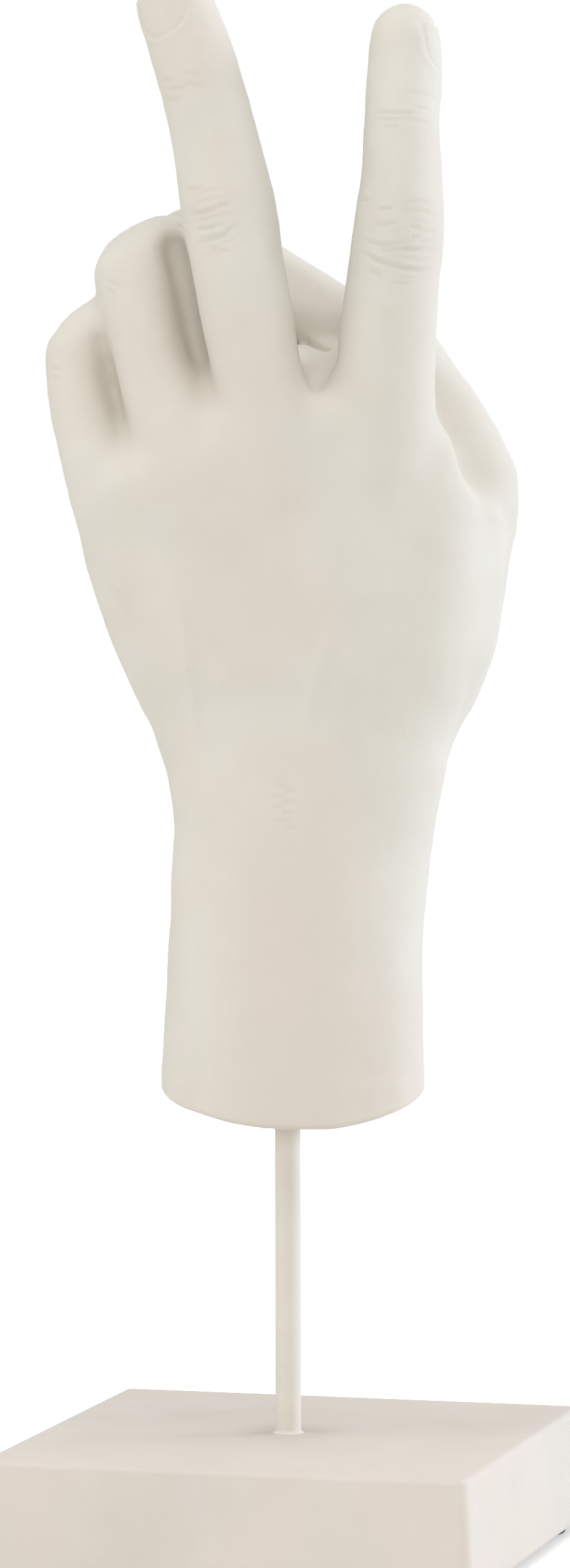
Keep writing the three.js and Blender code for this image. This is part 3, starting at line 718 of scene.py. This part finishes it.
fitEdges(edgeShifts, skinSpec["edge"])
cutRim(rimLine, skinSpec["rim"], skinSpec["bore"])
thumbRoot = [v for v in skin.verts if v.co.x > 37 and v.co.y < 16 and 102 < v.co.z < 143]
smoothSkin(skin, thumbRoot, 30)
bottomOfV = vertsAround((6, -9, 172), 8)
smoothSkin(skin, bottomOfV, 3)
heelToWrist = [v for v in skin.verts if v.co.y > 4 and 60 < v.co.z < 97]
smoothSkin(skin, heelToWrist, 70)
bend = [v for v in skin.verts if 62 < v.co.z < 104]
for k in range(12):  # softens the turn from wrist to palm without shrinking it
    smoothSkin(skin, bend, 1)
    smoothSkin(skin, bend, 1, -0.52)
skin.normal_update()

# hand-modelled unevenness above the wrist's edge: (height, width of the waves)
waves = [(0.16, 11), (0.05, 4)]
for v in skin.verts:
    if v.co.z > skinSpec["rim"] + 1:
        v.co += v.normal * sum(height * noise.noise(v.co / width) for height, width in waves)
refreshSculpt()

# finer faces where lines and nails are carved: (centre, radius)
fineAreas = [((26, -12, 208), 15), ((27, -7, 238), 11), ((35, 1, 252), 10), ((-15, -14, 212), 14),
             ((-22, -8, 244), 11), ((-29, -4, 261), 11), ((-38, -1, 202), 10), ((-54, 5, 180), 9),
             ((7, 12, 183), 8), ((25, 38, 187), 10), ((-4, 41, 206), 11), ((-5, 31, 168), 8),
             ((-31, 28, 158), 7), ((0, -22, 76), 9)]

# lines of the palm side: (width, depth, points)
palmLines = {
    "thumbBall": [(1.3, 0.8, [(31, 151), (21.5, 140), (14.5, 124), (10.5, 106), (8, 90), (6, 80)])],
    "head": [(0.9, 0.55, [(29, 149), (16, 143), (0, 137), (-14, 129), (-24, 120)])],
    "heart": [(0.9, 0.5, [(-45, 147), (-34, 143), (-18, 144), (-4, 149), (6, 156)])],
    "middle": [(0.8, 0.25, [(-3, 134), (-4, 118), (-2, 100)])],
    "wrist": [(0.8, 0.5, [(-24, 69.5), (-10, 67), (6, 67), (22, 69.5)]),
              (0.7, 0.35, [(-21, 64), (-8, 62), (8, 62), (19, 64)])],
    "wristTendons": [(2.8, -0.7, [(0, 66), (-2, 45), (-3, 18)]), (2.6, -0.45, [(8, 66), (8, 48), (9, 24)])],
}
# creases inside the raised fingers: middle of the joint, finger's run, half the arc in degrees, width, depth
flexCreases = [((26.4, -3.5, 208.6), (0.05, 0.03, 1), 72, 0.8, 0.42),
               ((26.5, -3.4, 211.4), (0.05, 0.03, 1), 55, 0.7, 0.28),
               ((27.2, 0.5, 236.6), (0.05, 0.2, 1), 66, 0.8, 0.4),
               ((-12.9, -5.4, 212.6), (-0.18, 0.05, 1), 72, 0.8, 0.42),
               ((-13.4, -5.2, 215.4), (-0.18, 0.05, 1), 55, 0.7, 0.28),
               ((-19.3, -1.4, 243.6), (-0.3, 0.2, 0.93), 66, 0.8, 0.4)]
palmWay = (0, 1, 0)


def refineSkin(areas):
    chosen = set()
    for centre, radius in areas:
        inside = set(vertsAround(centre, radius))
        chosen |= {e for v in inside for e in v.link_edges if e.other_vert(v) in inside}
    made = bmesh.ops.subdivide_edges(skin, edges=list(chosen), cuts=2, use_grid_fill=True)
    fresh = {v for v in made["geom_inner"] if isinstance(v, bmesh.types.BMVert)}
    around = {v for e in chosen if e.is_valid for v in e.verts}
    smoothSkin(skin, list(fresh | around), 3)


def lineThrough(points, step):  # a smooth line through a few points
    ends = [Vector(p) for p in points]
    ends = [ends[0] * 2 - ends[1]] + ends + [ends[-1] * 2 - ends[-2]]
    line = []
    for a, b, c, d in zip(ends, ends[1:], ends[2:], ends[3:]):
        count = max(1, math.ceil((c - b).length / step))
        for k in range(count):
            t = k / count
            line.append(0.5 * ((2 * b) + (c - a) * t + (2 * a - 5 * b + 4 * c - d) * t * t
                               + (3 * b - a - 3 * c + d) * t * t * t))
    return line + [ends[-2]]


def strokeOn(side, points, step):  # side -1 is the back of the hand, 1 the palm; points are (x, z)
    stroke = []
    for p in lineThrough([(a, b, 0) for a, b in points], step):
        place, normal, face, gap = sculpt["rays"].ray_cast((p.x, side * 150, p.y), (0, -side, 0))
        if place:
            stroke.append((place, normal))
    return stroke


def strokeRound(centre, along, facing, span, bow, step):  # across a finger, span degrees to each side
    along = Vector(along).normalized()
    facing = Vector(facing)
    facing = (facing - along * facing.dot(along)).normalized()
    count = max(6, round(2 * span / step))
    stroke = []
    for k in range(count + 1):
        share = 2 * k / count - 1
        aim = Matrix.Rotation(math.radians(span * share), 3, along) @ facing
        place, normal, face, gap = sculpt["rays"].ray_cast(Vector(centre) + along * bow * share * share, aim)
        if place:
            stroke.append((place, normal if normal.dot(aim) > 0 else -normal))
    return stroke


lineReach = 3.2  # how far the finer faces reach beside a line
for lines in palmLines.values():
    for width, depth, points in lines:
        if depth > 0:
            fineAreas += [(place, lineReach) for place, normal in strokeOn(1, points, 4)]
for centre, along, span, width, depth in flexCreases:
    fineAreas += [(place, lineReach) for place, normal in strokeRound(centre, along, palmWay, span, 0, 24)]
refineSkin(fineAreas)
refreshSculpt()
# how much painted shade each point of the skin gets, laid by the grooves and the nail outlines
paintedShadeMark = skin.verts.layers.float.new("paintedShadeMark")
print("hand skin refined,", len(skin.faces), "faces")


def bell(away, width):  # 1 in the middle, next to nothing at twice the width
    return math.exp(-(away / width) ** 2)


def carve(stroke, width, depth, lip, ends, paintedCreaseShade=1.0):  # a groove, or a ridge where depth is negative
    near = {}
    last = max(1, len(stroke) - 1)
    for k, (place, normal) in enumerate(stroke):
        for found, index, gap in sculpt["near"].find_range(place, width * 3):
            if index not in near or gap < near[index][0]:
                near[index] = (gap, k / last, normal)
    for index, (gap, share, normal) in near.items():
        v = skin.verts[index]
        if v.normal.dot(normal) < 0.25:
            continue
        fade = min(1, share / ends, (1 - share) / ends)
        fade = fade * fade * (3 - 2 * fade)
        cut = bell(gap, width)
        rise = lip * bell(gap - 2 * width, width)
        v.co -= v.normal * depth * fade * (cut - rise)
        # a groove also lays painted shade along itself, as much as the last argument gives
        if depth > 0:
            v[paintedShadeMark] = max(v[paintedShadeMark], fade * cut * paintedCreaseShade)


# short cross lines on the back of the wrist: left end, right end, height, rise of the middle
wristMarks = [(-2.8, -0.2, 83.6, 0.2), (-4.0, 1.9, 81.9, -0.3), (-1.2, 2.6, 80.5, 0.1),
              (-4.4, 0.6, 79.4, -0.2), (-2.2, 3.1, 77.8, 0.2), (-3.6, 0.2, 76.9, -0.1),
              (-1.5, 2.2, 75.3, 0.3), (-3.8, 1.4, 73.8, -0.2), (-0.6, 2.4, 71.9, 0)]
# lines on the back, read off the raised fingers, the curled knuckles and the wrist: (width, depth, points)
backLines = {
    "indexKnuckle": [
        (0.5, 0.2, [(17.5, 217.0), (19.8, 216.9)]),
        (0.5, 0.35, [(20.6, 214.6), (23.2, 214.8), (25.4, 214.6)]),
        (0.6, 0.25, [(19.8, 211.5), (22.4, 211.0), (26.3, 211.8)]),
        (0.5, 0.3, [(28.2, 211.0), (29.9, 210.5), (31.6, 211.2)]),
        (0.5, 0.3, [(28.5, 208.6), (29.9, 208.3), (31.6, 209.1)]),
        (0.5, 0.35, [(16.9, 208.7), (19.2, 207.2), (22.0, 206.5), (25.3, 206.6), (28.0, 206.9),
                     (30.8, 207.6)]),
        (0.5, 0.35, [(19.7, 205.9), (22.9, 205.3), (26.7, 205.4), (30.2, 205.4), (33.3, 206.7)]),
        (0.55, 0.5, [(16.3, 205.3), (18.9, 204.1), (21.7, 202.6), (24.6, 201.7), (27.8, 200.8), (31.6, 200.8),
                     (34.2, 201.8)]),
        (0.5, 0.25, [(18.3, 200.8), (20.9, 200.0), (22.6, 199.1)]),
        (0.5, 0.15, [(24.0, 198.0), (26.5, 197.6), (29.6, 197.7)])],
    "indexTipJoint": [
        (0.55, 0.3, [(19.9, 237.8), (22.1, 237.3), (25.8, 237.0), (28.7, 237.0), (31.5, 237.5)]),
        (0.5, 0.25, [(20.7, 236.1), (24.7, 235.5), (29.2, 235.8)]),
        (0.5, 0.15, [(22.1, 234.2), (24.7, 233.9), (26.8, 234.2)])],
    "middleKnuckle": [
        (0.5, 0.2, [(-23.5, 219.8), (-20.7, 219.5), (-18.4, 219.9)]),
        (0.5, 0.4, [(-22.7, 213.7), (-20.0, 213.9), (-17.6, 214.1), (-15.3, 215.1)]),
        (0.5, 0.25, [(-16.2, 215.4), (-12.5, 216.0)]),
        (0.5, 0.3, [(-21.0, 210.3), (-17.9, 210.3), (-15.6, 211.0)]),
        (0.5, 0.3, [(-14.2, 209.6), (-12.5, 210.3), (-10.5, 211.3)]),
        (0.55, 0.45, [(-21.3, 206.5), (-17.2, 207.7), (-14.2, 208.5), (-11.9, 209.8)]),
        (0.5, 0.2, [(-18.2, 205.0), (-14.8, 205.4), (-12.6, 203.9)])],
    "middleTipJoint": [
        (0.5, 0.2, [(-29.2, 245.4), (-27.5, 245.0), (-25.0, 244.8)]),
        (0.5, 0.2, [(-27.6, 243.1), (-24.6, 242.8), (-21.9, 243.0)]),
        (0.5, 0.13, [(-24.1, 246.2), (-21.8, 246.4), (-19.5, 246.0)]),
        (0.5, 0.16, [(-23.8, 244.2), (-21.2, 243.6), (-18.4, 243.1)]),
        (0.5, 0.13, [(-28.9, 241.1), (-26.1, 240.5), (-23.5, 240.5)])],
    "ringKnuckle": [(0.5, 0.14, [(-42.4, 199.3), (-40.2, 198.2), (-37.6, 197.0)]),
                    (0.5, 0.1, [(-41.9, 196.7), (-39.3, 195.9)])],
    "littleKnuckle": [(0.5, 0.14, [(-55.7, 179.0), (-54.0, 178.3), (-52.3, 178.0)]),
                      (0.5, 0.1, [(-54.9, 176.7), (-52.6, 176.0)])],
    "wrist": [(0.4, 0.1, [(left, high), ((left + right) / 2, high + rise), (right, high)])
              for left, right, high, rise in wristMarks],
    "tendons": [(2.1, -1.4, [(-43.5, 146), (-40.2, 134), (-37.5, 123.4), (-34.0, 112)]),
                (1.8, -1.7, [(-30.5, 144), (-26.2, 127), (-23.7, 118.1), (-21.3, 97.2), (-21.4, 78)]),
                (1.3, -0.8, [(15.5, 128), (8.1, 109.5), (4.1, 94.1), (3.4, 86)])],
}

# fans of fine arcs over the bent joints: middle of the joint, finger's run, way the knuckle faces, then
# half the arc in degrees, half the fan's height and how far its outer arcs bow
knuckleFans = {
    "index": ((26.4, -3.5, 208.5), (0.05, 0.03, 1), (0.44, -0.9, 0), 48, 8.0, 2.6),
    "indexTip": ((27.2, 0.5, 237.0), (0.05, 0.2, 1), (0.5, -0.85, 0), 46, 3.4, 1.0),
    "middle": ((-13.4, -5.2, 211.5), (-0.18, 0.08, 1), (-0.3, -0.95, 0.1), 50, 7.5, 2.4),
    "thumb": ((24, 31, 181.6), (-0.8, 0.12, 0.58), (0.25, 0.9, 0.35), 50, 4.5, 1.4),
    "ring": ((-35.3, 7.2, 200.5), (0.4, 0.82, 0.44), (-0.47, -0.23, 0.85), 44, 4.0, 1.2),
    "ringTip": ((-15.5, 26.5, 184.5), (0.52, 0.13, -0.66), (0.2, 0.95, 0.3), 44, 3.0, 0.8),
    "little": ((-48.8, 10, 181.5), (0.4, 0.8, 0.44), (-0.55, -0.2, 0.8), 44, 3.4, 1.0),
    "littleTip": ((-34.8, 23.5, 168.5), (0.4, 0.2, -0.85), (0.1, 0.95, 0.3), 44, 2.6, 0.7),
}
fanJitter = [0.9, 0.62, 1.0, 0.74, 0.95, 0.58, 0.86, 0.7, 1.0]
for centre, along, facing, span, spread, bow in knuckleFans.values():
    count = max(3, round(spread))
    for k in range(count):
        share = 2 * k / (count - 1) - 1
        middle = Vector(centre) + Vector(along).normalized() * spread * share
        size = fanJitter[k % len(fanJitter)]
        arc = strokeRound(middle, along, facing, span * size, -bow * share, 2)
        # each arc lays half the painted shade of a full line
        carve(arc, 0.5, 0.13 * size, lip=0.4, ends=0.45, paintedCreaseShade=0.5)


def carveLines(side, table, share, lip, ridgeEnds, paintedCreaseShade):  # grooves get lips, ridges fade over longer ends
    for lines in table.values():
        for width, depth, points in lines:
            stroke = strokeOn(side, points, width * 0.7)
            if depth > 0:
                carve(stroke, width, depth * share, lip, 0.3, paintedCreaseShade)
            else:
                carve(stroke, width, depth * share, 0, ridgeEnds)


# back lines lay full painted shade; the palm's lines and the creases below lay half
carveLines(-1, backLines, share=0.72, lip=0.35, ridgeEnds=0.45, paintedCreaseShade=1.0)
underThumb = [(3.6, 185.2), (5.7, 184.6), (8.5, 183.3), (10.8, 182.7)]
# a deep groove under the thumb, laid with full painted shade
carve(strokeOn(-1, underThumb, 0.5), 0.8, 1.7, lip=0, ends=0.15)
carveLines(1, palmLines, share=1, lip=0.25, ridgeEnds=0.5, paintedCreaseShade=0.5)
for centre, along, span, width, depth in flexCreases:
    carve(strokeRound(centre, along, palmWay, span, 0, 2), width, depth, lip=0.15, ends=0.35, paintedCreaseShade=0.5)
print("hand carved")

# nails: where the nail's root sits on the finger's axis, which way it runs and which way it faces
nails = {
    "index": {"root": (28, 2.6, 247.3), "along": (0.02, 0.18, 0.98), "back": (0.96, -0.28, 0),
              "length": 10.4, "width": 11.5, "strength": 0.7},
    "middle": {"root": (-23, 1.2, 255.6), "along": (-0.3, 0.22, 0.92), "back": (-0.52, -0.86, 0),
               "length": 11.5, "width": 12, "strength": 0.75},
    "thumb": {"root": (-1.1, 34.4, 198.8), "along": (-0.81, 0.09, 0.56), "back": (0.2, 0.45, 0.86),
              "length": 12, "width": 12.5, "strength": 1},
    "ring": {"root": (-8.4, 23.4, 172.5), "along": (0.39, -0.45, -0.8), "back": (0.1, 0.9, 0.4),
             "length": 9.5, "width": 10.5, "strength": 1},
    "little": {"root": (-32.4, 22, 161.5), "along": (0.2, -0.4, -0.9), "back": (0, 0.9, 0.4),
               "length": 8, "width": 8.5, "strength": 1},
}


def carveNail(spec):
    root, along, back = Vector(spec["root"]), Vector(spec["along"]).normalized(), Vector(spec["back"])
    back = (back - along * back.dot(along)).normalized()
    side = along.cross(back)
    half, length = spec["width"] / 2, spec["length"]
    for v in vertsAround(root + along * length / 2 + back * half * 1.4, length * 1.1):
        offset = v.co - root
        t, s = offset.dot(along), offset.dot(side)
        if offset.dot(back) < 0 or v.normal.dot(back) < -0.1:
            continue
        # how far outside the plate's outline, which is rounder at the root than at the free edge
        curve = half * (0.85 if t < length / 2 else 0.35)
        over = (abs(s) - half + curve, abs(t - length / 2) - length / 2 + curve)
        gap = math.hypot(max(over[0], 0), max(over[1], 0)) + min(max(over), 0) - curve
        # 1 at the free edge, where no fold covers the nail and the fingertip drops away under it
        free = min(1, max(0, (t - length * 0.8) / (length * 0.2)))
        fold = 0.2 * bell(gap - 1.3, 0.9) * (1 - free)
        groove = 0.22 * bell(gap, 0.5) * (1 - free)
        plate = 0.06 if gap < 0 else 0
        edge = free * (0.3 * bell(gap + 0.6, 0.6) - 0.6 * bell(gap - 0.7, 0.8))
        v.co += v.normal * (fold + plate + edge - groove) * spec["strength"]
        # painted shade along the nail's groove
        v[paintedShadeMark] = max(v[paintedShadeMark], 0.4 * bell(gap, 0.5))


for spec in nails.values():
    carveNail(spec)
print("nails carved")
finishPiece("castHand", skin, handFrame, chalkPaintOnResin, "hand", "hand", 0)
